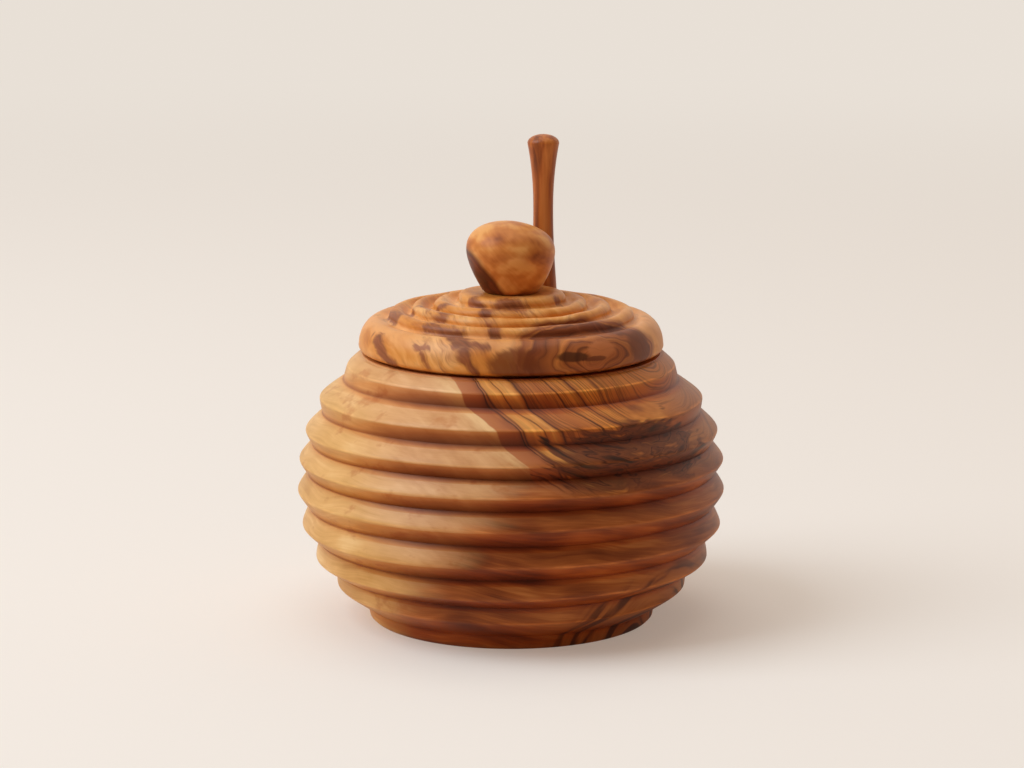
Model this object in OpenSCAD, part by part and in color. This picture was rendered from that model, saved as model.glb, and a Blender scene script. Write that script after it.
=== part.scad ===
// Beehive honey pot in turned wood: a ribbed pot, a lid that lifts off, its egg-shaped knob and a dipper.
// The axis of the pot is Z, and the pot stands on the plane Z = 0 with its front towards -Y.

/* [Pot] */
// Diameter over the fattest ring
pot_d = 115; // [108:0.5:122]
// Height of the face that the lid rests on
pot_h = 72; // [71:0.1:74]
// Height of the fattest part of the pot
belly_z = 36.2; // [34:0.1:38]
// How squarely the side bulges, 2 being an ellipse
fullness = 2.3; // [2.1:0.05:2.5]
// Depth of the grooves between the rings
groove_depth = 2.5; // [1:0.1:3]
// Rounding of each ring's edge
ring_round = 0.8; // [0.5:0.1:1.2]
// Diameter of the foot
foot_d = 76.8; // [70:0.2:80]
// Diameter of the mouth
mouth_d = 68.8; // [66:0.2:72]
// Diameter of the hollow at its widest
hollow_d = 94; // [86:0.5:96]
// Thickness of the floor
floor_t = 9.5; // [8:0.1:12]

/* [Lid] */
// Diameter over the rim of the lid
lid_d = 81.8; // [79:0.2:84]
// Height of the rim of the lid above the pot
rim_h = 9.5; // [8:0.1:10.5]
// Radius of the outermost step on the lid
step_r = 33; // [32:0.1:34]
// Distance from one step to the next
step_pitch = 6.1; // [5.7:0.1:6.2]
// Depth of the plug that drops into the mouth
plug_h = 5; // [4:0.1:6]
// Gap all round the plug
plug_gap = 0.4; // [0.2:0.1:0.8]
// Diameter of the hole that the dipper stands in
dipper_hole_d = 10.4; // [10:0.1:11.5]

/* [Knob] */
// Diameter of the knob
knob_d = 23.7; // [20:0.1:25]
// Height of the knob
knob_h = 19; // [16:0.1:22]
// Diameter of the foot of the knob
knob_foot_d = 14.5; // [12:0.1:16]
// Diameter of the dowel between lid and knob
dowel_d = 6; // [4:0.1:7]

/* [Dipper] */
// Height of the top of the dipper when it stands in the pot
dipper_top_z = 128.5; // [124:0.5:136]
// Diameter of the bulb at the top of the handle
bulb_d = 8.6; // [7:0.1:9]
// Diameter of the handle at its waist
waist_d = 5.4; // [4.5:0.1:6]
// Diameter of the handle where it enters the head
stem_d = 9.2; // [7.5:0.1:9.4]
// Diameter of the grooved head
head_d = 22; // [18:0.5:22]
// Number of discs on the head
disc_count = 6; // [4:1:7]

/* [Hidden] */
$fn = 96;

// Rings, from the lowest up. Each sits on the bulge, a little off the even spacing, as a hand leaves it.
ring_low_z = 8.7;
ring_pitch = 8.57;
ring_wander = [0, -0.9, -0.3, 0.8, 0.6, 0, 0, 0];
ring_count = len(ring_wander);
bulge_up = 45.4;
bulge_down = 42.3;
foot_top_z = 3.6;
foot_flare = 0.5;
rim_face_r = 40.3;

// Hollow of the pot
corner_r = 17;
side_low_z = floor_t + corner_r;
side_high_z = 40;
mouth_low_z = 65;

// Lid, as heights above the pot's rim
lid_low_r = 39.6;
rim_mid_h = 2.4;
rim_crest_r = 35.7;
step_crest_h = [12, 13.4, 14.5, 16.4];
nose_h = 1.8;
nose_w = 2;
step_drop = 2.9;
step_toe = 0.2;
seat_h = 16.1;
seat_r = 7.6;
dish_r = 27;
dish_h = 2.5;
plug_bevel = 1;

// Knob and its dowel
knob_wide_h = 11.1;
knob_round = 2.35;
knob_taper = 1.6;
knob_z = pot_h + seat_h;
dowel_in_lid = 8;
dowel_in_knob = 9;
glue_gap = 0.05;

// Dipper, as heights in the pot
dipper_x = 8.65;
dipper_y = 16;
bulb_z = dipper_top_z - 2.4;
waist_z = dipper_top_z - 20.5;
stem_z = waist_z - 42;
neck_z = 38;
head_h = 26;
head_z = floor_t;
disc_core_r = 5.5;
disc_share = 0.6;
disc_crown = 0.2;
disc_bevel = 0.3;
barrel_taper = 0.62;
bulb_curve = 2.2;

// Radius of the pot's bulge at a height
function bulge_r(z) =
    let (reach = z > belly_z ? bulge_up : bulge_down)
    pot_d / 2 * pow(1 - pow(abs(z - belly_z) / reach, fullness), 1 / fullness);

// Edge of each ring, and the bottom of each groove: groove i lies under ring i
function ring_edge(i) =
    let (z = ring_low_z + i * ring_pitch + ring_wander[i])
    [bulge_r(z), z];
function groove(i) =
    i == 0 ? [foot_d / 2 + foot_flare, foot_top_z] :
    i == ring_count ? [rim_face_r, pot_h] :
    (ring_edge(i - 1) + ring_edge(i)) / 2 - [groove_depth, 0];

// The rounded edge of ring i: an arc that both flanks meet smoothly
function ring_arc(i) =
    let (c = ring_edge(i) - [ring_round, 0],
         low = groove(i) - c,
         high = groove(i + 1) - c,
         from = atan2(low[1], low[0]) + acos(ring_round / norm(low)),
         to = atan2(high[1], high[0]) - acos(ring_round / norm(high)))
    [for (k = [0:5]) let (a = from + (to - from) * k / 5) c + ring_round * [cos(a), sin(a)]];

pot_outside = concat(
    [[0, 0], [foot_d / 2, 0]],
    [for (i = [0:ring_count - 1]) each concat([groove(i)], ring_arc(i))],
    [groove(ring_count), [0, pot_h]]);

// The hollow: a flat floor, a round corner, an upright side, and a shoulder that closes in to the mouth
pot_hollow = concat(
    [[0, floor_t]],
    [for (a = [-90:10:0]) [hollow_d / 2 - corner_r + corner_r * cos(a), side_low_z + corner_r * sin(a)]],
    [for (a = [0:10:90])
        [mouth_d / 2 + (hollow_d - mouth_d) / 2 * cos(a),
         side_high_z + (mouth_low_z - side_high_z) * sin(a)]],
    [[mouth_d / 2, pot_h + 1], [0, pot_h + 1]]);

module pot_body() {
    color("#b9793f")
        rotate_extrude()
            difference() {
                polygon(pot_outside);
                polygon(pot_hollow);
            }
}

// Step i of the lid: a rounded nose, then a slope that falls gently to the foot of the next nose
function step_foot_h(i) = i < len(step_crest_h) ? step_crest_h[i] - step_drop : seat_h;
function step_outline(i) =
    let (nose_r = step_r - i * step_pitch,
         crest_h = step_crest_h[i],
         crest_r = nose_r - nose_w,
         end_r = i < len(step_crest_h) - 1 ? nose_r - step_pitch + step_toe : seat_r,
         fall = crest_h - step_foot_h(i + 1))
    concat(
        [for (a = [-20:11:90]) [crest_r + nose_w * cos(a), crest_h - nose_h + nose_h * sin(a)]],
        [for (t = [0.2:0.2:1]) [crest_r + (end_r - crest_r) * t, crest_h - fall * (1 - cos(180 * t)) / 2]]);

rim_outline = concat(
    [for (a = [-90:15:0])
        [lid_low_r + (lid_d / 2 - lid_low_r) * cos(a), rim_mid_h * (1 + sin(a))]],
    [for (a = [10:10:90])
        [rim_crest_r + (lid_d / 2 - rim_crest_r) * cos(a), rim_mid_h + (rim_h - rim_mid_h) * sin(a)]]);

plug_r = mouth_d / 2 - plug_gap;
lid_outline = concat(
    [for (t = [0:0.1:1]) [dish_r * t, dish_h * (1 + cos(180 * t)) / 2 - plug_h]],
    [[plug_r - plug_bevel, -plug_h], [plug_r, plug_bevel - plug_h], [plug_r, 0]],
    rim_outline,
    [[step_r + step_toe, step_foot_h(0)]],
    [for (i = [0:len(step_crest_h) - 1]) each step_outline(i)],
    [[0, seat_h]]);

module lid() {
    color("#c2854a")
        difference() {
            translate([0, 0, pot_h])
                rotate_extrude()
                    polygon(lid_outline);
            translate([dipper_x, dipper_y, pot_h - plug_h - 1])
                cylinder(h = rim_h + plug_h + seat_h, d = dipper_hole_d);
            translate([0, 0, knob_z - dowel_in_lid])
                cylinder(h = dowel_in_lid + 1, d = dowel_d + 2 * glue_gap);
        }
}

// The knob is an egg, widest above the middle, that narrows to a flat foot
function knob_low_r(t) = knob_d / 2 - (knob_d - knob_foot_d) / 2 * pow(1 - t, knob_taper);
knob_outline = concat(
    [[0, 0]],
    [for (t = [0:0.1:0.9]) [knob_low_r(t), knob_wide_h * t]],
    [for (a = [0:7.5:90])
        [knob_d / 2 * pow(cos(a), 2 / knob_round),
         knob_wide_h + (knob_h - knob_wide_h) * pow(sin(a), 2 / knob_round)]]);

module knob() {
    color("#a8672f")
        difference() {
            translate([0, 0, knob_z])
                rotate_extrude()
                    polygon(knob_outline);
            translate([0, 0, knob_z - 1])
                cylinder(h = dowel_in_knob + 1, d = dowel_d + 2 * glue_gap);
        }
}

module knob_dowel() {
    color("#d8b27a")
        translate([0, 0, knob_z - dowel_in_lid])
            cylinder(h = dowel_in_lid + dowel_in_knob, d = dowel_d);
}

// The handle swells from its waist down to the stem and up to the bulb, which a low dome closes
function handle_low_r(z) =
    waist_d / 2 + (stem_d - waist_d) / 4 * (1 - cos(180 * (waist_z - z) / (waist_z - stem_z)));
function handle_high_r(z) =
    waist_d / 2 + (bulb_d - waist_d) / 2 * pow((z - waist_z) / (bulb_z - waist_z), bulb_curve);

// The head is a barrel of thin discs on a core
disc_pitch = head_h / disc_count;
function barrel_r(z) = head_d / 2 * sqrt(1 - pow(barrel_taper * (2 * (z - head_z) / head_h - 1), 2));
function disc_outline(i) =
    let (low = head_z + i * disc_pitch,
         high = low + disc_pitch * disc_share,
         mid = (low + high) / 2,
         next = low + disc_pitch)
    [[barrel_r(low), low], [barrel_r(mid) + disc_crown, mid], [barrel_r(high), high],
     [disc_core_r, high + disc_bevel], [disc_core_r, next - disc_bevel]];

dipper_outline = concat(
    [[0, head_z]],
    [for (i = [0:disc_count - 1]) each disc_outline(i)],
    [[stem_d / 2, neck_z]],
    [for (z = [stem_z:6:waist_z]) [handle_low_r(z), z]],
    [for (t = [0.15:0.17:1]) let (z = waist_z + (bulb_z - waist_z) * t) [handle_high_r(z), z]],
    [for (a = [0:15:90]) [bulb_d / 2 * cos(a), bulb_z + (dipper_top_z - bulb_z) * sin(a)]]);

module dipper() {
    color("#8f4f24")
        translate([dipper_x, dipper_y, 0])
            rotate_extrude()
                polygon(dipper_outline);
}

pot_body();
lid();
knob();
knob_dowel();
dipper();
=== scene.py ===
import math
import bpy
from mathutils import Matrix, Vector


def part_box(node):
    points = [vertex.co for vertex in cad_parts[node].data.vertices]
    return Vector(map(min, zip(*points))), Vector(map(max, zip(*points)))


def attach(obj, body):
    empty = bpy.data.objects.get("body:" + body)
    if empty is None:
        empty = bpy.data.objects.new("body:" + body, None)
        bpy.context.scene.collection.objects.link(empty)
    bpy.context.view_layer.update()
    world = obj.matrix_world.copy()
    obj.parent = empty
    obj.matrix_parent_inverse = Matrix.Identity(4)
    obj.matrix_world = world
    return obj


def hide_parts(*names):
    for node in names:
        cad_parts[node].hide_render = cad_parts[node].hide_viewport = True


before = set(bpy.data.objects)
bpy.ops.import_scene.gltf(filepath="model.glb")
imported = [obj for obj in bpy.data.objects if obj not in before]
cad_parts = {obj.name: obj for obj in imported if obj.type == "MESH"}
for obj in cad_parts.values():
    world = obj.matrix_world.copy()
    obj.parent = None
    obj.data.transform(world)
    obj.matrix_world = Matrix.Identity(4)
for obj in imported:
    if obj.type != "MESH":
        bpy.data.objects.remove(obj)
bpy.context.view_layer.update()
print("frame loaded")

mm = 0.001    # everything below is written in millimetres
sharpAngle = 38    # an edge between faces stays sharp from this many degrees


# Turned pieces

def turned(name, outline, body, node, turns, centre=(0, 0), wander=None):
    # spins an outline round an upright axis, on which it starts and ends
    # a point is radius, height, its share of the hand-made wander and how deep it sits in a groove, which
    # sets the pot's painted shade and, below zero, its painted edge highlight
    verts, faces, rings, sunk = [], [], [], []
    for r, z, give, depth in outline:
        if r == 0:
            rings.append([len(verts)])
            verts.append((*centre, z))
            sunk.append(depth)
            continue
        rings.append(list(range(len(verts), len(verts) + turns)))
        sunk += [depth] * turns
        for k in range(turns):
            a = 2 * math.pi * k / turns
            dr, dz = wander(a, r, z) if wander and give else (0, 0)
            rr = r + dr * give
            verts.append((centre[0] + rr * math.cos(a), centre[1] + rr * math.sin(a), z + dz * give))
    for low, high in zip(rings, rings[1:]):
        for k in range(turns):
            n = (k + 1) % turns
            if len(low) == 1:
                faces.append((low[0], high[n], high[k]))
            elif len(high) == 1:
                faces.append((low[k], low[n], high[0]))
            else:
                faces.append((low[k], low[n], high[n], high[k]))
    mesh = bpy.data.meshes.new(name)
    mesh.from_pydata([[c * mm for c in v] for v in verts], [], faces)
    mesh.polygons.foreach_set("use_smooth", [True] * len(faces))
    mesh.set_sharp_from_angle(angle=math.radians(sharpAngle))
    mesh.attributes.new("sunk", "FLOAT", "POINT").data.foreach_set("value", sunk)
    piece = bpy.data.objects.new(name, mesh)
    bpy.context.scene.collection.objects.link(piece)
    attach(piece, body)
    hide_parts(node)
    return piece


def arc(rc, zc, rr, rz, fromDeg, toDeg, steps):
    # an elliptical arc as a list of radius and height
    points = []
    for k in range(steps + 1):
        a = math.radians(fromDeg + (toDeg - fromDeg) * k / steps)
        points.append((rc + rr * math.cos(a), zc + rz * math.sin(a)))
    return points


def giving(points, give, sunk=0.0):
    return [(r, z, give, sunk) for r, z in points]


def eased(t):
    # from 0 to 1, level at both ends
    return (1 - math.cos(math.pi * t)) / 2


def clamped(value):
    return min(1, max(0, value))


# Pot

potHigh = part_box("pot_body")[1] / mm
pot = {
    "ringRadius": potHigh.x, "rimHeight": potHigh.z,
    "bellyHeight": 36.2, "reachUp": 45.4, "reachDown": 42.3, "fullness": 2.3,
    "lowestRing": 8.7, "ringPitch": 8.57, "ringOff": [0, -0.9, -0.3, 0.8, 0.6, 0, 0, 0],
    "grooveDepth": 2.6, "edgeRound": 0.07, "flankCrown": 1.1, "grooveRise": 0.3,
    "footRadius": 38.4, "footBevel": 0.6, "footFlare": 0.5, "footTop": 3.6,
    "rimRadius": 40.3, "lipRound": 0.4, "mouthRadius": 34.4, "mouthRound": 0.5,
    "hollowRadius": 47.0, "floor": 9.5, "corner": 17.0, "sideHigh": 40.0, "mouthLow": 65.0,
    "flankPoints": 9, "edgeCrowding": 1.4, "hollowPoints": 12, "turns": 384,
    # the painted shadow of the seam under the lid, then where painted shade and the painted edge highlight
    # show, as shares of a ring's flank
    "seamShade": 0.4, "edgeLightShare": 0.11, "upperClear": 0.72, "underCurve": 0.8,
    # how far the rings are from true
    "frontLift": 0.7, "sway": 0.16, "flutter": 0.09, "thinning": 0.1, "fadeHeight": 6,
}


def bulge(z):
    reach = pot["reachUp"] if z > pot["bellyHeight"] else pot["reachDown"]
    share = abs(z - pot["bellyHeight"]) / reach
    return pot["ringRadius"] * (1 - share ** pot["fullness"]) ** (1 / pot["fullness"])


def flank(tip, valley, upward, outward, upper, unshaded=False):
    # one side of a ring, from its rounded edge down a slightly crowned flank into the groove
    # sunk sets painted shade: an underside gets it all the way, an upper side only near the groove and an
    # unshaded one nowhere below zero it sets a painted highlight on the edge
    gap = valley - tip
    run, depth = gap.dot(upward), -gap.dot(outward)
    e, steps = pot["edgeRound"], pot["flankPoints"]
    points = []
    for k in range(steps + 1):
        t = (k / steps) ** pot["edgeCrowding"]
        fall = ((math.hypot(t, e) - e) / (math.hypot(1, e) - e)) ** pot["flankCrown"]
        if unshaded:
            sunk = 0.0
        elif upper:
            sunk = max(0.0, (t - pot["upperClear"]) / (1 - pot["upperClear"]))
        else:
            sunk = t ** pot["underCurve"]
        sunk -= max(0.0, 1 - t / pot["edgeLightShare"])
        points.append((*(tip + upward * run * t - outward * depth * fall), 1.0, sunk))
    return points


def potRings():
    heights = [pot["lowestRing"] + i * pot["ringPitch"] + off for i, off in enumerate(pot["ringOff"])]
    tips = [Vector((bulge(z), z)) for z in heights]
    valleys = [Vector((pot["footRadius"] + pot["footFlare"], pot["footTop"]))]
    for low, high in zip(tips, tips[1:]):
        valleys.append((low + high) / 2 + Vector((-pot["grooveDepth"], pot["grooveRise"])))
    valleys.append(Vector((pot["rimRadius"], pot["rimHeight"])))
    rings = []
    for tip, low, high in zip(tips, valleys, valleys[1:]):
        upward = (high - low).normalized()
        outward = Vector((upward.y, -upward.x))
        rings += flank(tip, low, upward, outward, False)[::-1]
        rings += flank(tip, high, upward, outward, True, tip is tips[-1])[1:-1]
    return rings


def potOutline():
    foot, bevel = pot["footRadius"], pot["footBevel"]
    bottom = [(0, 0), (foot - bevel, 0), (foot, bevel)]
    rim, top, lipRound = pot["rimRadius"], pot["rimHeight"], pot["lipRound"]
    mouth, mouthRound = pot["mouthRadius"], pot["mouthRound"]
    lip = [(rim, top - lipRound)]
    face = [(rim - lipRound, top), (mouth + mouthRound, top), (mouth, top - mouthRound)]
    hollow, corner, side, steps = pot["hollowRadius"], pot["corner"], pot["sideHigh"], pot["hollowPoints"]
    inside = arc(mouth, side, hollow - mouth, pot["mouthLow"] - side, 90, 0, steps)
    inside += arc(hollow - corner, pot["floor"] + corner, corner, corner, 0, -90, steps)
    inside.append((0, pot["floor"]))
    outline = giving(bottom, 0) + potRings() + giving(lip, 0)
    # the rim's face under the lid gets the painted shadow of the seam
    return outline + giving(face, 0, pot["seamShade"]) + giving(inside, 0)


def potWander(a, r, z):
    # the rings aren't quite true: they rise, dip and thin a little on the way round
    fade = clamped(min(z - pot["footTop"], pot["rimHeight"] - z) / pot["fadeHeight"])
    lift = pot["sway"] * math.sin(2 * a + 0.11 * z) + pot["flutter"] * math.sin(5 * a + 0.35 * z + 1.3)
    lift += pot["frontLift"] * max(0, -math.sin(a)) ** 1.5
    thin = pot["thinning"] * (1 + math.sin(3 * a + 0.21 * z + 0.6))
    return -thin * fade, lift * fade


potPiece = turned("turned_pot", potOutline(), "pot", "pot_body", pot["turns"], wander=potWander)
print("pot turned")


# Lid, with the hole that the dipper stands in and the bore for the knob's dowel

lid = {
    "rest": pot["rimHeight"], "rimRadius": 40.9, "rimMiddle": 2.4, "rimHeight": 9.5, "rimCrest": 35.7,
    "underRadius": 39.4, "seamRadius": 38.0, "seamGap": 0.8,
    "stepRadius": 33.0, "stepPitch": 6.1, "stepCrests": [12, 13.4, 14.5, 16.4],
    "noseHeight": 1.8, "noseWidth": 2.0, "stepDrop": 2.9, "cove": 1.0,
    "seatHeight": 16.1, "seatRadius": 7.6, "dishRadius": 27.0, "dishHeight": 2.5,
    "plugDepth": 5.0, "plugGap": 0.4, "plugBevel": 1.0,
    "dipperAt": (8.65, 16.0), "holeRadius": 5.2, "holeFacets": 96, "drillMiddle": 80, "drillLength": 60,
    "slopePoints": 8, "covePoints": 5, "nosePoints": 14, "rimPoints": 18, "turns": 320,
    # how far the steps are from true, and how much of that the rim takes
    "waveIn": 0.36, "waveDown": 0.2, "rimGives": 0.5, "trueRadius": 9, "fadeWidth": 6, "fadeHeight": 3,
}
dowel = {"radius": 3.05, "inLid": 8.0, "inKnob": 9.0}


def lidSteps():
    crests, pitch, cove, count = lid["stepCrests"], lid["stepPitch"], lid["cove"], lid["slopePoints"]
    noseWidth, noseHeight, seatRadius = lid["noseWidth"], lid["noseHeight"], lid["seatRadius"]
    feet = [crest - lid["stepDrop"] for crest in crests] + [lid["seatHeight"]]
    outer = lid["stepRadius"] + cove
    steps = []
    for t in (0.75, 0.5, 0.25):    # the rim's back, down to the foot of the first step
        steps.append((outer + (lid["rimCrest"] - outer) * t,
                      feet[0] + (lid["rimHeight"] - feet[0]) * math.sin(math.pi / 2 * t)))
    for i, crest in enumerate(crests):
        nose = lid["stepRadius"] - i * pitch
        back = nose - noseWidth
        end = nose - pitch + cove if i < len(crests) - 1 else seatRadius
        steps += arc(nose + cove, feet[i] + cove, cove, cove, 270, 180, lid["covePoints"])
        steps += arc(back, crest - noseHeight, noseWidth, noseHeight, 0, 90, lid["nosePoints"])
        for k in range(1, count):
            t = k / count
            steps.append((back + (end - back) * t, crest - (crest - feet[i + 1]) * eased(t)))
    steps.append((seatRadius, lid["seatHeight"]))
    return steps


def lidOutline():
    deep, bevel, count = lid["plugDepth"], lid["plugBevel"], lid["slopePoints"]
    plug = pot["mouthRadius"] - lid["plugGap"]
    under = []
    for k in range(count + 1):
        t = k / count
        under.append((lid["dishRadius"] * t, lid["dishHeight"] * (1 - eased(t)) - deep))
    under += [(plug - bevel, -deep), (plug, bevel - deep), (plug, 0), (lid["seamRadius"], 0)]
    outer, low, middle, high, crest = (lid[key] for key in
                                       ("rimRadius", "underRadius", "rimMiddle", "rimHeight", "rimCrest"))
    rim = arc(low, middle, outer - low, middle - lid["seamGap"], -90, 0, count)
    rim += arc(crest, middle, outer - crest, high - middle, 0, 90, lid["rimPoints"])[1:]
    seat, radius = lid["seatHeight"], dowel["radius"]
    bore = [(radius, seat), (radius, seat - dowel["inLid"]), (0, seat - dowel["inLid"])]
    outline = giving(under, 0) + giving(rim, lid["rimGives"]) + giving(lidSteps(), 1) + giving(bore, 0)
    return [(r, z + lid["rest"], give, sunk) for r, z, give, sunk in outline]


def lidWander(a, r, z):
    # sanded by hand: the steps' edges wave a little, less towards the seat of the knob
    fade = clamped((r - lid["trueRadius"]) / lid["fadeWidth"])
    fade *= clamped((z - lid["rest"]) / lid["fadeHeight"])
    wave = 0.5 * math.sin(3 * a + 0.35 * r) + 0.3 * math.sin(7 * a - 0.5 * r)
    wave += 0.2 * math.sin(13 * a + 0.9 * r + 2)
    return -lid["waveIn"] * (1 + wave) * fade, lid["waveDown"] * (wave - 1) * fade


def drilled(piece):
    middle = [c * mm for c in (*lid["dipperAt"], lid["drillMiddle"])]
    bpy.ops.mesh.primitive_cylinder_add(vertices=lid["holeFacets"], radius=lid["holeRadius"] * mm,
                                        depth=lid["drillLength"] * mm, location=middle)
    drill = bpy.context.object
    cut = piece.modifiers.new("dipper hole", "BOOLEAN")
    cut.object = drill
    cut.solver = "EXACT"
    graph = bpy.context.evaluated_depsgraph_get()
    piece.data = bpy.data.meshes.new_from_object(piece.evaluated_get(graph))
    piece.modifiers.clear()
    bpy.data.objects.remove(drill)


lidPiece = turned("turned_lid", lidOutline(), "lid", "lid", lid["turns"], wander=lidWander)
drilled(lidPiece)
print("lid turned and drilled")


# Knob, an egg that narrows to its foot, sanded a little lopsided

knob = {
    "rest": lid["rest"] + lid["seatHeight"], "radius": 11.85, "height": 19.0, "footRadius": 7.25,
    "footInset": 0.5, "footEase": 0.3, "wideHeight": 11.1, "round": 2.35, "taper": 1.6,
    "slump": 0.055, "lean": 0.5, "ripple": 0.1, "trueRadius": 4,
    "lowPoints": 16, "topPoints": 24, "turns": 128,
}


def knobOutline():
    radius, foot, wide, top = knob["radius"], knob["footRadius"], knob["wideHeight"], knob["height"]
    bore = [(0, dowel["inKnob"]), (dowel["radius"], dowel["inKnob"]), (dowel["radius"], 0),
            (foot - knob["footInset"], 0), (foot, knob["footEase"])]
    egg = []
    for k in range(1, knob["lowPoints"]):
        t = k / knob["lowPoints"]
        egg.append((radius - (radius - foot) * (1 - t) ** knob["taper"], wide * t))
    for k in range(knob["topPoints"]):
        a = math.pi / 2 * k / knob["topPoints"]
        egg.append((radius * math.cos(a) ** (2 / knob["round"]),
                    wide + (top - wide) * math.sin(a) ** (2 / knob["round"])))
    egg.append((0, top))
    outline = giving(bore, 0) + giving(egg, 1)
    return [(r, z + knob["rest"], give, sunk) for r, z, give, sunk in outline]


def knobWander(a, r, z):
    # the right shoulder falls away and the top leans left
    up = max(0, (z - knob["rest"]) / knob["height"])
    out = clamped(r / knob["trueRadius"])
    fall = -knob["slump"] * r * (1 + math.cos(a)) * up ** 3
    lean = -knob["lean"] * math.cos(a) * up ** 2
    ripple = knob["ripple"] * math.sin(3 * a + 1) * up * (1 - up)
    return (lean + ripple) * out, fall


knobPiece = turned("turned_knob", knobOutline(), "lid", "knob", knob["turns"], wander=knobWander)
print("knob turned")


# Dipper, with a grooved head that stays in the honey

dipper = {
    "top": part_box("dipper")[1].z / mm, "bulbRadius": 4.3, "bulbDrop": 2.4, "bulbCurve": 2.2,
    "waistRadius": 2.7, "waistDrop": 20.5, "stemRadius": 4.6, "stemDrop": 62.5, "neck": 38.0,
    "headLow": 9.5, "headHeight": 26.0, "headRadius": 11.0, "barrelTaper": 0.62, "core": 5.5,
    "discs": 6, "discShare": 0.6, "discCrown": 0.1, "discFlatness": 0.98,
    "discPoints": 10, "stemPoints": 24, "bulbPoints": 16, "capPoints": 14, "turns": 96,
}


def barrel(z):
    off = dipper["barrelTaper"] * (2 * (z - dipper["headLow"]) / dipper["headHeight"] - 1)
    return dipper["headRadius"] * math.sqrt(1 - off * off)


def dipperHead():
    pitch = dipper["headHeight"] / dipper["discs"]
    points = [(0, dipper["headLow"])]
    for i in range(dipper["discs"]):
        low = dipper["headLow"] + i * pitch
        high = low + pitch * dipper["discShare"]
        middle, half = (low + high) / 2, (high - low) / 2
        edge = barrel(middle) + dipper["discCrown"]
        points.append((dipper["core"], low))
        points += arc(edge - half, middle, half, half * dipper["discFlatness"], -90, 90, dipper["discPoints"])
        points.append((dipper["core"], high))
    return points


def dipperHandle():
    waist, stem, bulb = (dipper["top"] - dipper[key] for key in ("waistDrop", "stemDrop", "bulbDrop"))
    thin, thick, wide = dipper["waistRadius"], dipper["stemRadius"], dipper["bulbRadius"]
    points = [(thick, dipper["neck"]), (thick, (dipper["neck"] + stem) / 2)]
    for k in range(dipper["stemPoints"] + 1):
        t = k / dipper["stemPoints"]
        points.append((thick - (thick - thin) * eased(t), stem + (waist - stem) * t))
    for k in range(1, dipper["bulbPoints"] + 1):
        t = k / dipper["bulbPoints"]
        points.append((thin + (wide - thin) * t ** dipper["bulbCurve"], waist + (bulb - waist) * t))
    points += arc(0, bulb, wide, dipper["bulbDrop"], 4, 86, dipper["capPoints"])
    points.append((0, dipper["top"]))
    return points


dipperPiece = turned("turned_dipper", giving(dipperHead() + dipperHandle(), 0), "dipper", "dipper",
                     dipper["turns"], lid["dipperAt"])
print("dipper turned")


# Shader maths: arithmetic on a wire adds Math nodes

class Wire:
    def __init__(self, socket):
        self.socket = socket

    def node(self, kind, settings=None, values=None, out=0):
        # settings first, such as an operation or a ramp's stops, then the sockets' values or wires
        tree = self.socket.id_data
        made = tree.nodes.new(kind)
        for name, value in (settings or {}).items():
            if name == "stops":
                for k, (place, colour) in enumerate(value):
                    stop = made.color_ramp.elements[k] if k < 2 else made.color_ramp.elements.new(place)
                    stop.position = place
                    stop.color = colour
            else:
                setattr(made, name, value)
        for name, value in (values or {}).items():
            if isinstance(value, Wire):
                tree.links.new(value.socket, made.inputs[name])
            else:
                made.inputs[name].default_value = value
        return Wire(made.outputs[out])

    def math(self, operation, first, second=0.0):
        return self.node("ShaderNodeMath", {"operation": operation}, {0: first, 1: second})

    def __add__(self, other):
        return self.math("ADD", self, other)

    def __sub__(self, other):
        return self.math("SUBTRACT", self, other)

    def __rsub__(self, other):
        return self.math("SUBTRACT", other, self)

    def __mul__(self, other):
        return self.math("MULTIPLY", self, other)

    def __truediv__(self, other):
        return self.math("DIVIDE", self, other)

    __radd__ = __add__
    __rmul__ = __mul__


def larger(first, second):
    return first.math("MAXIMUM", first, second)


def vector(operation, first, second, out=0):
    return first.node("ShaderNodeVectorMath", {"operation": operation}, {0: first, 1: second}, out)


def along(point, direction):
    return vector("DOT_PRODUCT", point, direction, 1)


def length(offset):
    return vector("LENGTH", offset, (0, 0, 0), 1)


def scaled(point, scale):
    return vector("MULTIPLY", point, scale)


def parted(point):
    return [along(point, direction) for direction in ((1, 0, 0), (0, 1, 0), (0, 0, 1))]


def joined(x, y, z):
    source = next(v for v in (x, y, z) if isinstance(v, Wire))
    return source.node("ShaderNodeCombineXYZ", {}, {0: x, 1: y, 2: z})


def ramped(value, low, high):
    # 0 below low and 1 above high, smoothly
    return value.node("ShaderNodeMapRange", {"interpolation_type": "SMOOTHSTEP"},
                      {"Value": value, "From Min": low, "From Max": high})


def summed(fields, shares):
    return sum(field * share for field, share in zip(fields, shares))


def cloud(point, detail=2.0, rough=0.5, out=0):
    return point.node("ShaderNodeTexNoise", {"noise_dimensions": "3D"},
                      {"Vector": point, "Scale": 1.0, "Detail": detail, "Roughness": rough}, out)


def layered(depth, side, end, pitch, length, detail, rough, shift=0.0):
    # wood in layers: quick changes across the rings and slow ones along them
    return cloud(joined(depth / pitch + shift, side / length, end / length), detail, rough)


def swayed(point, size, amount, shift=(0, 0, 0)):
    # the point pushed about by a soft cloud, so that layers wave
    spot = vector("ADD", scaled(point, (1 / size,) * 3), shift)
    push = vector("SUBTRACT", cloud(spot, 1.5, 0.5, 1), (0.5, 0.5, 0.5))
    return vector("ADD", point, scaled(push, (2 * amount,) * 3))


def nearness(point, middle, half):
    # 1 in the middle of an ellipsoid, 0 on its skin and below that outside
    return 1 - length(vector("DIVIDE", vector("SUBTRACT", point, middle), half))


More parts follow.
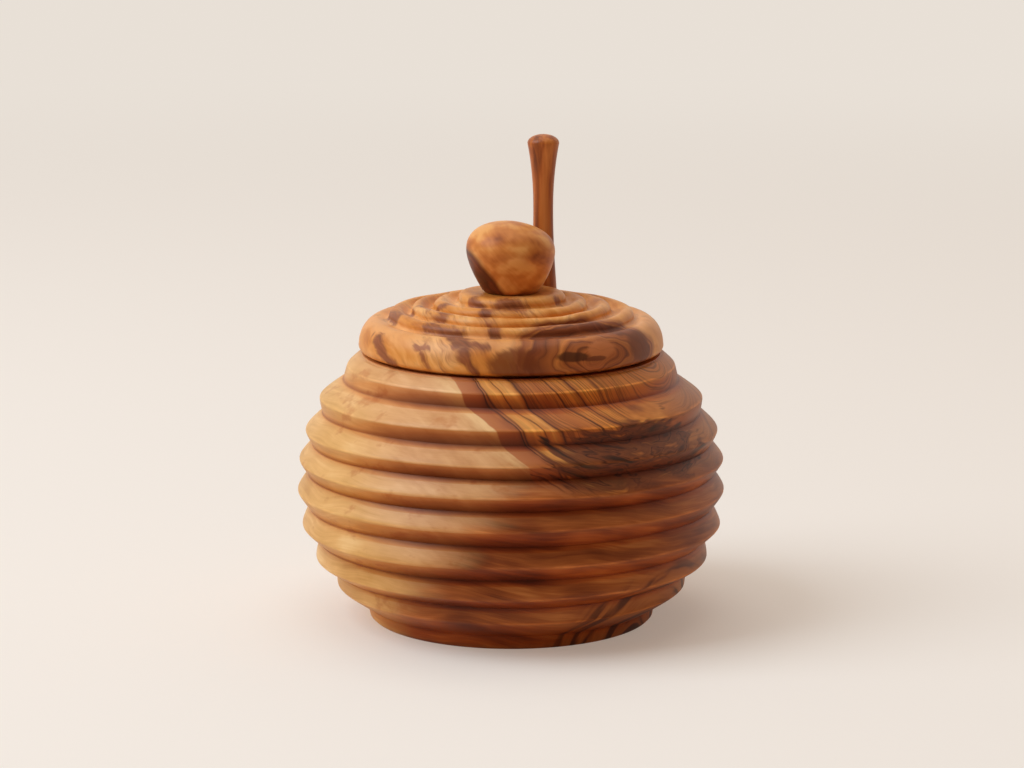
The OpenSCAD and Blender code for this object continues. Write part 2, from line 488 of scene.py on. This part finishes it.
def shown(colour):
    # a colour as it is seen, 0 to 255, in the linear values that Blender works in
    seen = [c / 255 for c in colour]
    return [c / 12.92 if c < 0.0405 else ((c + 0.055) / 1.055) ** 2.4 for c in seen] + [1]


def tinted(value, stops):
    stops = [(place, shown(colour)) for place, colour in stops]
    return value.node("ShaderNodeValToRGB", {"stops": stops}, {0: value})


def blended(share, first, second):
    # a colour between two colours
    return share.node("ShaderNodeMix", {"data_type": "RGBA"}, {0: share, 6: first, 7: second}, 2)


def shaded(colour, shade):
    # dark lines in wood are also a little redder
    return vector("MULTIPLY", colour, joined(*(shade * part for part in lineTint)))


def bandsOver(depth, bands):
    # growth bands, whose places in millimetres become shares of the last one's
    reach = bands[-1][0]
    return tinted(depth / reach, [(place / reach, colour) for place, colour in bands])


def startWood(name):
    wood = bpy.data.materials.new(name)
    wood.use_nodes = True
    place = wood.node_tree.nodes.new("ShaderNodeTexCoord")
    return wood, scaled(Wire(place.outputs["Object"]), (1 / mm,) * 3)


lineTint = (1.0, 0.96, 0.9)
satin = {
    "rough": 0.42, "roughChange": 0.16, "relief": 0.25, "reliefDepth": 0.1, "shine": 0.24,
    "oil": 0.06, "oilRough": 0.28,
}


def finishWood(wood, colour, grain, look):
    # oiled satin: fine streaks in the polish and a low relief of the grain
    shader = wood.node_tree.nodes["Principled BSDF"]
    links = wood.node_tree.links
    links.new(colour.socket, shader.inputs["Base Color"])
    rough = look["rough"] + (grain - 0.5) * look["roughChange"]
    links.new(rough.socket, shader.inputs["Roughness"])
    bump = {"Strength": look["relief"], "Distance": look["reliefDepth"] * mm, "Height": grain}
    relief = grain.node("ShaderNodeBump", {}, bump)
    links.new(relief.socket, shader.inputs["Normal"])
    shader.inputs["Specular IOR Level"].default_value = look["shine"]
    shader.inputs["Coat Weight"].default_value = look["oil"]
    shader.inputs["Coat Roughness"].default_value = look["oilRough"]
    return wood


# The pot's wood: sapwood on the left, figured heartwood top right, red-brown heartwood low right

potWood = {
    # names that end in Over or Fades: where a field starts to show in the colour and where it does fully
    # pushes that bend the wood: size of the waves, how far they reach, where the pattern starts
    "bend": (26, 2.2), "ripple": (10, 0.8, (8, 2, 4)), "fineRipple": (4, 0.25, (3, 1, 7)),
    "wave": (34, 5.0, (5, 5, 2)),
    # layers: thickness, length, detail, roughness, where the pattern starts
    "levelStreak": (1.1, 24, 2.0, 0.6), "slantStreak": (2.8, 15, 3.0, 0.5),
    "fibre": (0.3, 8, 2.0, 0.6, 4.7), "broad": (6.0, 22, 2.0, 0.5, 9.1),
    "redLayers": (2.4, 34, 3.0, 0.62, 1.9), "stripe": (0.6, 34, 2.5, 0.6, 2.2),
    "drift": (5.0, 26, 1.5, 0.5, 7.7), "patchy": (2.2, 11, 2.0, 0.5, 3.1),
    "eyeLayers": (3.4, 9, 2.0, 0.6, 8.8), "darkLayers": (1.9, 15, 2.0, 0.5, 5.5),
    "footLayers": (3.0, 20, 2.0, 0.55, 6.3),
    # sapwood
    "levelFacing": (0.12, 0.08, 1), "slantFacing": (0.62, 0.1, 0.78),
    "leftFacing": (-1, 0, -0.25), "leftFades": (10, 34),
    "sap": [(0.34, (190, 134, 84)), (0.45, (206, 152, 100)), (0.55, (218, 168, 118)),
            (0.66, (230, 188, 140))],
    "sapLeft": [(0.34, (196, 144, 80)), (0.45, (212, 164, 98)), (0.55, (224, 178, 114)),
                (0.66, (236, 198, 138))],
    "sapShares": (0.3, 0.3, 0.3, 0.1), "mottleScale": (0.09, 0.09, 0.14), "mottle": (3.0, 0.55),
    "smudge": (190, 122, 66), "smudgeScale": (0.13, 0.13, 0.2), "smudgeCloud": (3.0, 0.6),
    "smudgeOver": (0.55, 0.7), "smudgeMost": 0.6,
    "cream": (236, 200, 146), "creamFades": (-5.5, -0.3), "creamOver": (0.3, 0.6), "creamMost": 0.75,
    # red-brown heartwood low down at the right
    "red": [(0.32, (88, 40, 18)), (0.43, (136, 70, 34)), (0.54, (174, 100, 50)), (0.66, (210, 138, 78))],
    "redShares": (0.45, 0.45, 0.1), "lowFacing": (0.72, -0.2, -0.66), "lowAt": -20.5, "lowDrift": 14,
    "lowFades": (-6, 8),
    # growth bands from the edge of the heartwood inwards, in mm
    "bands": [(0.0, (184, 116, 70)), (2.6, (172, 102, 58)), (3.7, (150, 84, 46)), (4.0, (62, 28, 14)),
              (4.35, (180, 110, 62)), (4.7, (78, 36, 18)), (5.1, (204, 136, 66)), (6.4, (232, 166, 86)),
              (7.9, (216, 146, 70)), (8.2, (92, 46, 22)), (8.5, (214, 144, 70)), (10.4, (234, 172, 96)),
              (11.2, (196, 124, 60)), (11.55, (66, 30, 14)), (11.9, (160, 90, 42)), (14.0, (186, 112, 54)),
              (16.0, (172, 98, 46)), (18.6, (196, 120, 56)), (19.1, (92, 46, 22)), (19.6, (198, 122, 56)),
              (22.6, (212, 138, 64)), (23.7, (150, 86, 40)), (24.1, (62, 28, 14)), (24.5, (176, 104, 48)),
              (26.0, (216, 142, 64)), (29.0, (206, 130, 58)), (29.5, (110, 58, 28)), (30.0, (204, 128, 58)),
              (34.0, (190, 116, 54)), (38.0, (204, 128, 60))],
    "bandDrift": 3.4, "ringCentre": (36.0, -17.5, 80.0), "ringRadius": 56.0, "ringEdge": 0.2,
    "patch": (186, 112, 54), "patchOver": (0.5, 0.7), "patchMost": 0.6,
    # fine dark stripes: from and to a depth in mm, and how dark
    "stripes": [(3.6, 5.2, 0.16), (11, 13, 0.3)], "stripeOver": (0.36, 0.52),
    "endFades": (42.6, 47.6), "endDrift": 7, "dull": (158, 98, 60), "dullFades": (35, 48), "dullMost": 0.7,
    # the side branch, and the dark wood below it
    "eyeAt": (34.5, -35.0, 61.5), "eyeShape": (1, 0.8, 1), "eyeReach": 9.0, "eyePush": 5.0,
    "eyeTilt": 0.3, "eyeFades": (0.45, 0.8), "eyeMost": 0.85,
    "eye": [(0.34, (142, 76, 34)), (0.44, (192, 116, 50)), (0.56, (218, 144, 68)), (0.7, (196, 120, 56))],
    "darkAt": (32.0, -42.0, 50.8), "darkSize": (27.0, 26.0, 10.0), "darkSag": 0.012, "darkDrift": 3,
    "darkRagged": 1.6, "darkFades": (-0.1, 0.16), "darkMost": 0.95,
    "dark": [(0.3, (38, 16, 8)), (0.38, (80, 38, 19)), (0.45, (120, 62, 32)), (0.485, (62, 28, 14)),
             (0.52, (124, 66, 34)), (0.62, (104, 54, 28)), (0.72, (176, 104, 50))],
    # dark curved streaks at the right of the foot
    "footAt": (36.0, -24.0, -7.0), "footReach": 34.0, "footFade": 8.0, "footMost": 0.9,
    "foot": [(0.3, (52, 24, 12)), (0.42, (92, 44, 20)), (0.5, (170, 98, 46)), (0.62, (190, 116, 58))],
    # painted shade: what the wood's colour is multiplied by, from open wood to the bottom of a groove
    "grooveShade": [(0.0, (1, 1, 1, 1)), (0.12, (0.9, 0.68, 0.47, 1)), (0.5, (0.57, 0.32, 0.18, 1)),
             (1.0, (0.25, 0.12, 0.07, 1))],
    # the painted shade is weaker in the grooves at the left and the right, but for their bottoms, and near
    # the foot
    "lessShadeLeftFades": (20, 44), "lessShadeLeftMost": 0.9, "lessShadeRightFades": (0, 20), "lessShadeRightMost": 0.72,
    "deepOver": (0.72, 1.0), "deepMost": 0.42, "grooveShadeFades": (7, 17), "leastGrooveShade": 0.45,
    # painted highlight on the rings' edges, then painted light towards the foot
    "edgeLight": (1.9, 2.1, 2.3), "edgeLightScale": (0.16, 0.16, 0.3), "edgeLightOver": (0.34, 0.62),
    "edgeLightFades": (-20, 20), "leastEdgeLight": 0.25, "edgeLightMost": 0.7, "footLightFades": (1, 7), "footLightMost": 0.3,
    "polishShares": (0.6, 0.4),
}


def potGrain(point):
    # the fields that the pot's woods share
    bent = swayed(point, *potWood["bend"])
    rippled = swayed(swayed(bent, *potWood["ripple"]), *potWood["fineRipple"])
    waved = swayed(point, *potWood["wave"])
    x, y, z = parted(rippled)
    level = along(waved, potWood["levelFacing"])
    slant = along(waved, potWood["slantFacing"])
    leftness = ramped(along(rippled, potWood["leftFacing"]), *potWood["leftFades"])
    levelStreak = layered(level, x, y, *potWood["levelStreak"])
    slantStreak = layered(slant, x, y, *potWood["slantStreak"])
    return {
        "point": point, "bent": bent, "rippled": rippled, "waved": waved, "x": x, "y": y, "z": z,
        "leftness": leftness, "streak": slantStreak + (levelStreak - slantStreak) * leftness,
        "broad": layered(level, x, y, *potWood["broad"]), "fibre": layered(level, x, y, *potWood["fibre"]),
        "redLayers": layered(level, x, y, *potWood["redLayers"]),
        "inward": potWood["ringRadius"] - vector("DISTANCE", rippled, potWood["ringCentre"], 1),
    }


def sapColour(grain):
    # level grain at the left, slanting and cloudy towards the heartwood, and cream next to it
    mottle = cloud(scaled(grain["waved"], potWood["mottleScale"]), *potWood["mottle"])
    tone = summed((grain["broad"], mottle, grain["streak"], grain["fibre"]), potWood["sapShares"])
    sap = blended(grain["leftness"], tinted(tone, potWood["sap"]), tinted(tone, potWood["sapLeft"]))
    smudge = cloud(scaled(grain["bent"], potWood["smudgeScale"]), *potWood["smudgeCloud"])
    share = ramped(smudge, *potWood["smudgeOver"]) * potWood["smudgeMost"]
    sap = blended(share, sap, shown(potWood["smudge"]))
    nearHeart = ramped(grain["inward"], *potWood["creamFades"])
    share = nearHeart * ramped(grain["streak"], *potWood["creamOver"]) * potWood["creamMost"]
    return blended(share, sap, shown(potWood["cream"]))


def withRed(grain, colour):
    tone = summed((grain["broad"], grain["redLayers"], grain["fibre"]), potWood["redShares"])
    low = along(grain["bent"], potWood["lowFacing"]) - potWood["lowAt"]
    share = ramped(low + (grain["broad"] - 0.5) * potWood["lowDrift"], *potWood["lowFades"])
    return blended(share, colour, tinted(tone, potWood["red"]))


def withFootStreaks(grain, colour):
    depth = length(vector("SUBTRACT", grain["rippled"], potWood["footAt"]))
    streaks = tinted(layered(depth, grain["y"], grain["z"], *potWood["footLayers"]), potWood["foot"])
    inside = 1 - ramped(depth, potWood["footReach"] - potWood["footFade"], potWood["footReach"])
    return blended(inside * potWood["footMost"], colour, streaks)


def withHeart(grain, colour):
    # growth bands that bend round a side branch
    x, y, z, inward = grain["x"], grain["y"], grain["z"], grain["inward"]
    fromEye = scaled(vector("SUBTRACT", grain["rippled"], potWood["eyeAt"]), potWood["eyeShape"])
    eyeDistance = length(fromEye) / potWood["eyeReach"]
    spread = eyeDistance * eyeDistance * -1
    depth = inward + spread.math("EXPONENT", spread) * potWood["eyePush"]
    side, end = x + y, z - x
    stripe = layered(depth, side, end, *potWood["stripe"])
    drift = layered(depth, side, end, *potWood["drift"])
    patchy = layered(depth, side, end, *potWood["patchy"])
    heart = bandsOver(depth + (drift - 0.5) * potWood["bandDrift"], potWood["bands"])
    share = ramped(patchy, *potWood["patchOver"]) * potWood["patchMost"]
    heart = blended(share, heart, shown(potWood["patch"]))
    striped = sum(ramped(depth, low, high) * most for low, high, most in potWood["stripes"])
    heart = shaded(heart, 1 - striped * (1 - ramped(stripe, *potWood["stripeOver"])))
    eyeWood = tinted(layered(z + x * potWood["eyeTilt"], x, y, *potWood["eyeLayers"]), potWood["eye"])
    heart = blended((1 - ramped(eyeDistance, *potWood["eyeFades"])) * potWood["eyeMost"], heart, eyeWood)
    share = ramped(x, *potWood["dullFades"]) * potWood["dullMost"]
    heart = blended(share, heart, shown(potWood["dull"]))
    # the dark wood below the branch, with lines that sag
    offLowest = x - potWood["darkAt"][0]
    sagging = z - offLowest * offLowest * potWood["darkSag"] + (drift - 0.5) * potWood["darkDrift"]
    lines = layered(sagging, side, y, *potWood["darkLayers"])
    inDark = nearness(grain["rippled"], potWood["darkAt"], potWood["darkSize"])
    share = ramped(inDark + (0.5 - lines) * potWood["darkRagged"], *potWood["darkFades"])
    heart = blended(share * potWood["darkMost"], heart, tinted(lines, potWood["dark"]))
    lasts = ramped(z + (drift - 0.5) * potWood["endDrift"], *potWood["endFades"])
    return blended(ramped(inward, -potWood["ringEdge"], potWood["ringEdge"]) * lasts, colour, heart)


def withPaintedShadeAndLight(wood, grain, colour):
    # painted shade in the grooves, most under the rings at the front
    place = wood.node_tree.nodes.new("ShaderNodeAttribute")
    place.attribute_name = "sunk"
    sunken = Wire(place.outputs["Fac"])
    x, point = grain["x"], grain["point"]
    height = along(point, (0, 0, 1))
    left = ramped(x * -1, *potWood["lessShadeLeftFades"]) * potWood["lessShadeLeftMost"]
    right = ramped(x, *potWood["lessShadeRightFades"]) * potWood["lessShadeRightMost"]
    unshaded = larger(left, right)
    grooveShade = sunken * (1 - unshaded) + ramped(sunken, *potWood["deepOver"]) * unshaded * potWood["deepMost"]
    least = potWood["leastGrooveShade"]
    grooveShade = grooveShade * (least + ramped(height, *potWood["grooveShadeFades"]) * (1 - least))
    shadeTint = grooveShade.node("ShaderNodeValToRGB", {"stops": potWood["grooveShade"]}, {0: grooveShade})
    colour = vector("MULTIPLY", colour, shadeTint)
    # painted highlight on the rings' edges in places, most at the right
    least = potWood["leastEdgeLight"]
    lightPatches = ramped(cloud(scaled(point, potWood["edgeLightScale"])), *potWood["edgeLightOver"])
    rightness = ramped(x, *potWood["edgeLightFades"])
    edgeLight = ramped(sunken * -1, 0, 1) * (least + rightness * (1 - least)) * (least + lightPatches * (1 - least))
    colour = blended(edgeLight * potWood["edgeLightMost"], colour, vector("MULTIPLY", colour, potWood["edgeLight"]))
    # painted light: the wood is lighter towards the foot
    footLight = 1 + (1 - ramped(height, *potWood["footLightFades"])) * potWood["footLightMost"]
    return vector("MULTIPLY", colour, footLight)


def makePotWood():
    wood, point = startWood("pot_wood")
    grain = potGrain(point)
    colour = withFootStreaks(grain, withRed(grain, sapColour(grain)))
    colour = withPaintedShadeAndLight(wood, grain, withHeart(grain, colour))
    polish = summed((grain["fibre"], grain["streak"]), potWood["polishShares"])
    return finishWood(wood, colour, polish, satin)


potPiece.data.materials.append(makePotWood())
print("pot wood made")


# The lid's wood: honey with brown blots, and a long knot on the rim at the right

lidWood = {
    # pushes and layers are written as for the pot
    "bend": (9, 2.2, (2, 5, 1)), "ripple": (3, 0.5, (4, 4, 4)), "curl": (8, 2.0, (9, 1, 3)),
    "gentle": (7, 0.9, (6, 1, 6)), "acrossFacing": (0.85, 0.15, 0.5),
    "broad": (7.0, 14, 3.0, 0.55, 1.4), "fine": (0.9, 12, 2.0, 0.6, 6.0), "stripe": (0.6, 18, 2.0, 0.6, 3.0),
    "soft": (3.0, 10, 2.0, 0.5, 7.5), "ragged": (1.6, 7, 3.0, 0.65),
    "honey": [(0.32, (186, 110, 46)), (0.44, (212, 138, 62)), (0.55, (226, 158, 84)),
              (0.68, (242, 190, 124))],
    "honeyShares": (0.8, 0.2), "brownShares": (0.5, 0.5),
    # a painted highlight, a paler stretch on the rim's shoulder: it comes in from the first to the second
    # height and goes again
    "shoulderHighlight": (236, 176, 120), "highlightHeights": (76.5, 80.5, 83), "highlightDrift": 8, "highlightMost": 0.55,
    "brown": [(0.34, (102, 50, 30)), (0.5, (136, 72, 44)), (0.66, (172, 102, 60))], "brownMost": 0.88,
    # brown strands, each from one point to another with half its width, in mm
    "strands": [((-35, -19, 79), (-33.5, -23, 75), 1.7), ((-33.5, -23, 75), (-31, -26.5, 73), 1.5),
                ((-38, -14.5, 76.5), (-36.5, -15, 79.5), 0.7), ((-24.5, -31, 79), (-21, -34, 78.5), 1.1),
                ((-23.5, -33, 77.5), (-20.5, -35.5, 73.5), 1.2),
                ((-22, -32.5, 79.5), (-21, -24.5, 81.5), 0.7),
                ((-20.5, -24, 82), (-11.5, -34.5, 81.5), 2.4), ((-13.5, -36, 80.5), (-7.5, -38, 80), 1.8),
                ((-12.5, -37.5, 79), (-12, -39, 76.5), 1.6), ((-11.5, -39, 76.5), (-9.5, -39.5, 73.5), 1.2),
                ((-24.5, -5.5, 83.5), (-17.5, -18.5, 83.5), 2.1), ((-32, -2, 82), (-30, -11, 82), 2.1),
                ((-19.5, -6.5, 85), (-16.5, -8.5, 85.5), 1.4), ((-10, -10, 86.5), (-8, -13, 86.5), 1.5),
                ((-8, -22.5, 84), (-6, -24.5, 83.5), 2.0), ((-6.5, -18.5, 85), (0.5, -18.5, 85.5), 1.8),
                ((-3.5, -29, 82.5), (-3, -33, 81.5), 2.0), ((-2, -13.5, 87), (2.5, -17, 86), 3.2),
                ((7, -29.5, 82), (26, -20, 81.5), 1.7), ((11.5, -7, 87), (15, -7, 86), 1.4),
                ((22, 28, 81.5), (23.5, 13, 83), 1.6), ((-18, 28, 82), (-6, 36, 77), 3.0),
                ((6, 22, 84), (14, 38, 76), 2.6), ((-34, 14, 80), (-26, 26, 80), 2.4)],
    # the knot, with its growth bands from the middle outwards, in mm
    "knotAt": (22.0, -33.0, 76.5), "knotScale": (1.0, 1.0, 2.4), "knotFade": 3,
    "knotMean": (146, 80, 42), "meanOver": (0.35, 0.7), "meanMost": 0.6,
    "knot": [(0.0, (176, 104, 64)), (5.0, (190, 112, 62)), (6.4, (124, 66, 36)), (7.2, (186, 110, 58)),
             (9.0, (166, 94, 50)), (9.6, (112, 58, 32)), (10.2, (178, 104, 52)), (12.0, (202, 128, 66)),
             (13.0, (138, 76, 42)), (13.6, (180, 106, 56)), (15.2, (152, 86, 46)), (16.2, (104, 54, 32)),
             (17.0, (130, 68, 38)), (19.0, (126, 64, 36)), (20.2, (108, 54, 32)), (21.0, (190, 118, 62)),
             (22.0, (146, 80, 44)), (22.8, (206, 134, 72)), (24.0, (160, 92, 48)), (25.0, (216, 146, 78))],
    "stripeOver": (0.34, 0.56), "stripeShade": 0.78, "stripeLift": 0.24,
    # blots in and round the knot: middle, half sizes and colour
    "blots": {
        "ash": ((33.5, -21.5, 77.5), (5.0, 6.5, 5.4), (118, 62, 32)),
        "amber": ((23.5, -32.5, 78.4), (5.0, 6.0, 2.8), (196, 120, 72)),
        "shade": ((0.5, -41.0, 75.8), (8.0, 5.0, 6.0), (118, 58, 28)),
        "tail": ((21.5, -34.0, 76.4), (5.0, 4.0, 0.8), (112, 58, 32)),
        "slit": ((16.0, -37.0, 77.2), (5.4, 5.0, 1.5), (72, 38, 20)),
    },
    "blotRagged": 0.5, "blotFades": (0.0, 0.36), "blotMost": 0.85,
    "strandRagged": 2.2, "strandFades": (-0.5, 0.55), "layerGain": 3, "layerDrop": 2.1,
}


def strand(point, start, end, half):
    # 1 on the line between two points, 0 half a width away from it
    run = end - start
    offset = vector("SUBTRACT", point, start)
    share = along(offset, run / run.length_squared)
    share = share.node("ShaderNodeClamp", {}, {"Value": share})
    return 1 - vector("DISTANCE", offset, scaled(share, run), 1) / half


def honeyAndHighlight(z, broad, fine):
    honey = tinted(summed((broad, fine), lidWood["honeyShares"]), lidWood["honey"])
    # the painted highlight on the rim's shoulder
    low, middle, high = lidWood["highlightHeights"]
    comes = ramped(z + (broad - 0.5) * lidWood["highlightDrift"], low, middle)
    goes = 1 - ramped(z, middle, high)
    return blended(comes * goes * lidWood["highlightMost"], honey, shown(lidWood["shoulderHighlight"]))


def withKnot(bent, x, z, colour):
    # growth bands, long and flat
    offset = vector("SUBTRACT", swayed(bent, *lidWood["curl"]), lidWood["knotAt"])
    depth = length(scaled(offset, lidWood["knotScale"]))
    bands = bandsOver(depth, lidWood["knot"])
    stripe = ramped(layered(depth, x, z, *lidWood["stripe"]), *lidWood["stripeOver"])
    bands = shaded(bands, stripe * lidWood["stripeLift"] + lidWood["stripeShade"])
    softly = ramped(layered(depth, x, z, *lidWood["soft"]), *lidWood["meanOver"])
    bands = blended(softly * lidWood["meanMost"], bands, shown(lidWood["knotMean"]))
    reach = lidWood["knot"][-1][0]
    return blended(1 - ramped(depth, reach - lidWood["knotFade"], reach), colour, bands)


def makeLidWood():
    wood, point = startWood("lid_wood")
    bent = swayed(swayed(point, *lidWood["bend"]), *lidWood["ripple"])
    x, y, z = parted(bent)
    across = along(bent, lidWood["acrossFacing"])
    broad = layered(across, y, z, *lidWood["broad"])
    fine = layered(across, y, z, *lidWood["fine"])
    ragged = layered(across, y, z, *lidWood["ragged"]) - 0.5
    colour = withKnot(bent, x, z, honeyAndHighlight(z, broad, fine))
    gentle = swayed(point, *lidWood["gentle"])
    for middle, half, tone in lidWood["blots"].values():
        share = ramped(nearness(gentle, middle, half) + ragged * lidWood["blotRagged"], *lidWood["blotFades"])
        colour = blended(share * lidWood["blotMost"], colour, shown(tone))
    # where the broad layers run high they make brown too
    nearest = broad * lidWood["layerGain"] - lidWood["layerDrop"]
    for start, end, half in lidWood["strands"]:
        nearest = larger(nearest, strand(bent, Vector(start), Vector(end), half))
    brown = tinted(summed((broad, fine), lidWood["brownShares"]), lidWood["brown"])
    share = ramped(nearest + ragged * lidWood["strandRagged"], *lidWood["strandFades"])
    return finishWood(wood, blended(share * lidWood["brownMost"], colour, brown), fine, satin)


lidPiece.data.materials.append(makeLidWood())
print("lid wood made")


# The knob's wood: honey brown, and dark at the lower left

knobWood = {
    "bend": (8, 1.6, (1, 2, 8)), "acrossFacing": (0.7, 0, 0.7), "fine": (0.8, 10, 2.0, 0.6, 3.3),
    "broadScale": (0.15, 0.15, 0.2), "toneShares": (0.85, 0.15), "darkShares": (0.5, 0.5),
    "tone": [(0.32, (146, 76, 32)), (0.43, (186, 108, 48)), (0.54, (210, 134, 68)),
             (0.66, (232, 168, 98))],
    "lightFades": (92, 106), "lightMost": 0.06,
    "dark": [(0.35, (70, 30, 14)), (0.5, (98, 44, 20)), (0.68, (138, 70, 36))],
    "darkFacing": (-0.766, -0.1, -0.642), "darkAt": -55.6, "darkFades": (-0.6, 1.2),
}


def makeKnobWood():
    wood, point = startWood("knob_wood")
    bent = swayed(point, *knobWood["bend"])
    y, z = parted(bent)[1:]
    broad = cloud(scaled(bent, knobWood["broadScale"]))
    fine = layered(along(bent, knobWood["acrossFacing"]), y, z, *knobWood["fine"])
    light = ramped(z, *knobWood["lightFades"]) * knobWood["lightMost"]
    tone = tinted(summed((broad, fine), knobWood["toneShares"]) + light, knobWood["tone"])
    dark = tinted(summed((broad, fine), knobWood["darkShares"]), knobWood["dark"])
    low = along(bent, knobWood["darkFacing"]) - knobWood["darkAt"]
    return finishWood(wood, blended(ramped(low, *knobWood["darkFades"]), tone, dark), fine, satin)


knobPiece.data.materials.append(makeKnobWood())
print("knob wood made")


# The dipper's wood, with the grain along the handle

dipperWood = {
    "tone": [(0.3, (112, 54, 23)), (0.45, (168, 90, 38)), (0.55, (194, 114, 52)), (0.7, (216, 140, 72))],
    # fibres: thickness, length, detail and roughness
    "broad": (2.6, 34, 2.0, 0.5), "fine": (0.5, 22, 2.0, 0.6), "toneShares": (0.8, 0.2), "oil": 0.18,
}


def fibres(point, thick, long, detail, rough):
    x, y, z = parted(point)
    return cloud(joined(x / thick, y / thick, z / long), detail, rough)


def makeDipperWood():
    wood, point = startWood("dipper_wood")
    broad = fibres(point, *dipperWood["broad"])
    fine = fibres(point, *dipperWood["fine"])
    colour = tinted(summed((broad, fine), dipperWood["toneShares"]), dipperWood["tone"])
    return finishWood(wood, colour, fine, {**satin, "oil": dipperWood["oil"]})


dipperPiece.data.materials.append(makeDipperWood())


# The dowel keeps its plain shape and is raw beech

dowelWood = {
    "tone": [(0.3, (204, 170, 120)), (0.7, (224, 192, 144))], "fine": (0.5, 10, 2.0, 0.6),
    "rough": 0.6, "oil": 0.0,
}


def makeDowelWood():
    wood, point = startWood("dowel_wood")
    fine = fibres(point, *dowelWood["fine"])
    raw = {**satin, "oil": dowelWood["oil"], "rough": dowelWood["rough"]}
    return finishWood(wood, tinted(fine, dowelWood["tone"]), fine, raw)


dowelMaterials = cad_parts["knob_dowel"].data.materials
dowelMaterials.clear()
dowelMaterials.append(makeDowelWood())
print("dipper and dowel wood made")


# Floor, backdrop, lamps and camera, in metres, but the camera's place in millimetres

studio = {
    "floorRadius": 9.0, "floorFacets": 96, "floorRough": 0.9,
    # what the camera sees of the floor, a little of its own glow, and what the wood gets from it
    "floorSeen": (0.94, 0.975, 1.0), "floorGlow": (0.83, 0.68, 0.57), "glowShare": 0.35,
    "floorBounce": (0.84, 0.67, 0.50), "floorMirror": 0.7, "mirrorFades": (-0.3, 0.3),
    "farFloor": (0.81, 0.745, 0.675), "farFades": (0.25, 1.5), "backdrop": (0.81, 0.745, 0.675),
    "fillBack": (0.54, 0.435, 0.34), "fillFront": (0.16, 0.115, 0.08), "fillFades": (-0.6, 0.8),
    "lamps": {
        "key": {"from": (-1.6, -0.42, 1.65), "size": 1.6, "power": 36.0, "tint": (0.94, 0.98, 1.0)},
        "top": {"from": (-0.2, 0.1, 2.2), "size": 2.0, "power": 15.0, "tint": (1.0, 0.93, 0.84)},
    },
    "lampsAim": (0, 0, 0.05),
    "eye": (0.2, -839.1, 226.4), "pitch": 78.98, "lens": 111.94, "nearest": 0.01, "farthest": 100,
}


def painted(colour):
    return (*colour, 1)


def seenRays(owner, mirror):
    # 1 for what the camera sees straight or through glass, and mirror for what it sees mirrored
    rays = owner.node_tree.nodes.new("ShaderNodeLightPath").outputs
    straight = Wire(rays["Is Camera Ray"])
    mirrored = Wire(rays["Is Glossy Ray"]) * mirror
    through = Wire(rays["Is Transmission Ray"])
    return larger(straight, larger(mirrored, through))


def makeFloorPaint():
    material = bpy.data.materials.new("floor_paint")
    material.use_nodes = True
    nodes, links = material.node_tree.nodes, material.node_tree.links
    shader = nodes["Principled BSDF"]
    shader.inputs["Roughness"].default_value = studio["floorRough"]
    shader.inputs["Specular IOR Level"].default_value = 0.0
    spot = Wire(nodes.new("ShaderNodeTexCoord").outputs["Object"])
    # the front of the floor hardly mirrors in the wood
    behind = ramped(along(spot, (0, 1, 0)), *studio["mirrorFades"])
    seen = seenRays(material, behind * studio["floorMirror"])
    paint = blended(seen, painted(studio["floorBounce"]), painted(studio["floorSeen"]))
    links.new(paint.socket, shader.inputs["Base Color"])
    # far from the pot the floor is seen as an evenly lit sweep
    far = ramped(length(spot), *studio["farFades"]) * seen
    glow = far.node("ShaderNodeEmission", {}, {"Color": painted(studio["floorGlow"])})
    sweep = far.node("ShaderNodeEmission", {}, {"Color": painted(studio["farFloor"])})
    lit = Wire(shader.outputs["BSDF"])
    near = seen.node("ShaderNodeMixShader", {}, {0: seen * studio["glowShare"], 1: lit, 2: glow})
    mixed = far.node("ShaderNodeMixShader", {}, {0: far, 1: near, 2: sweep})
    links.new(mixed.socket, nodes["Material Output"].inputs["Surface"])
    return material


def layFloor():
    bpy.ops.mesh.primitive_circle_add(vertices=studio["floorFacets"], radius=studio["floorRadius"],
                                      fill_type="NGON")
    floor = bpy.context.object
    floor.name = "floor"
    floor.data.materials.append(makeFloorPaint())


def hangBackdrop():
    world = bpy.data.worlds.new("studio")
    bpy.context.scene.world = world
    world.use_nodes = True
    sight = Wire(world.node_tree.nodes.new("ShaderNodeTexCoord").outputs["Generated"])
    # the sweep stands behind the pot and mirrors only from there
    behind = ramped(along(sight, (0, 1, 0)), *studio["fillFades"])
    fill = blended(behind, painted(studio["fillFront"]), painted(studio["fillBack"]))
    colour = blended(seenRays(world, behind), fill, painted(studio["backdrop"]))
    world.node_tree.links.new(colour.socket, world.node_tree.nodes["Background"].inputs["Color"])


def hangLamps():
    for name, made in studio["lamps"].items():
        data = bpy.data.lights.new(name, "AREA")
        data.shape = "SQUARE"
        data.size = made["size"]
        data.energy = made["power"]
        data.color = made["tint"]
        lamp = bpy.data.objects.new(name, data)
        bpy.context.scene.collection.objects.link(lamp)
        lamp.location = made["from"]
        facing = Vector(studio["lampsAim"]) - lamp.location
        lamp.rotation_euler = facing.to_track_quat("-Z", "Y").to_euler()


def setCamera():
    data = bpy.data.cameras.new("camera")
    data.lens = studio["lens"]
    data.clip_start = studio["nearest"]
    data.clip_end = studio["farthest"]
    camera = bpy.data.objects.new("camera", data)
    bpy.context.scene.collection.objects.link(camera)
    camera.location = [c * mm for c in studio["eye"]]
    camera.rotation_euler = (math.radians(studio["pitch"]), 0, 0)
    bpy.context.scene.camera = camera


layFloor()
hangBackdrop()
hangLamps()
setCamera()
bpy.context.scene.view_settings.view_transform = "Standard"
print("studio set")
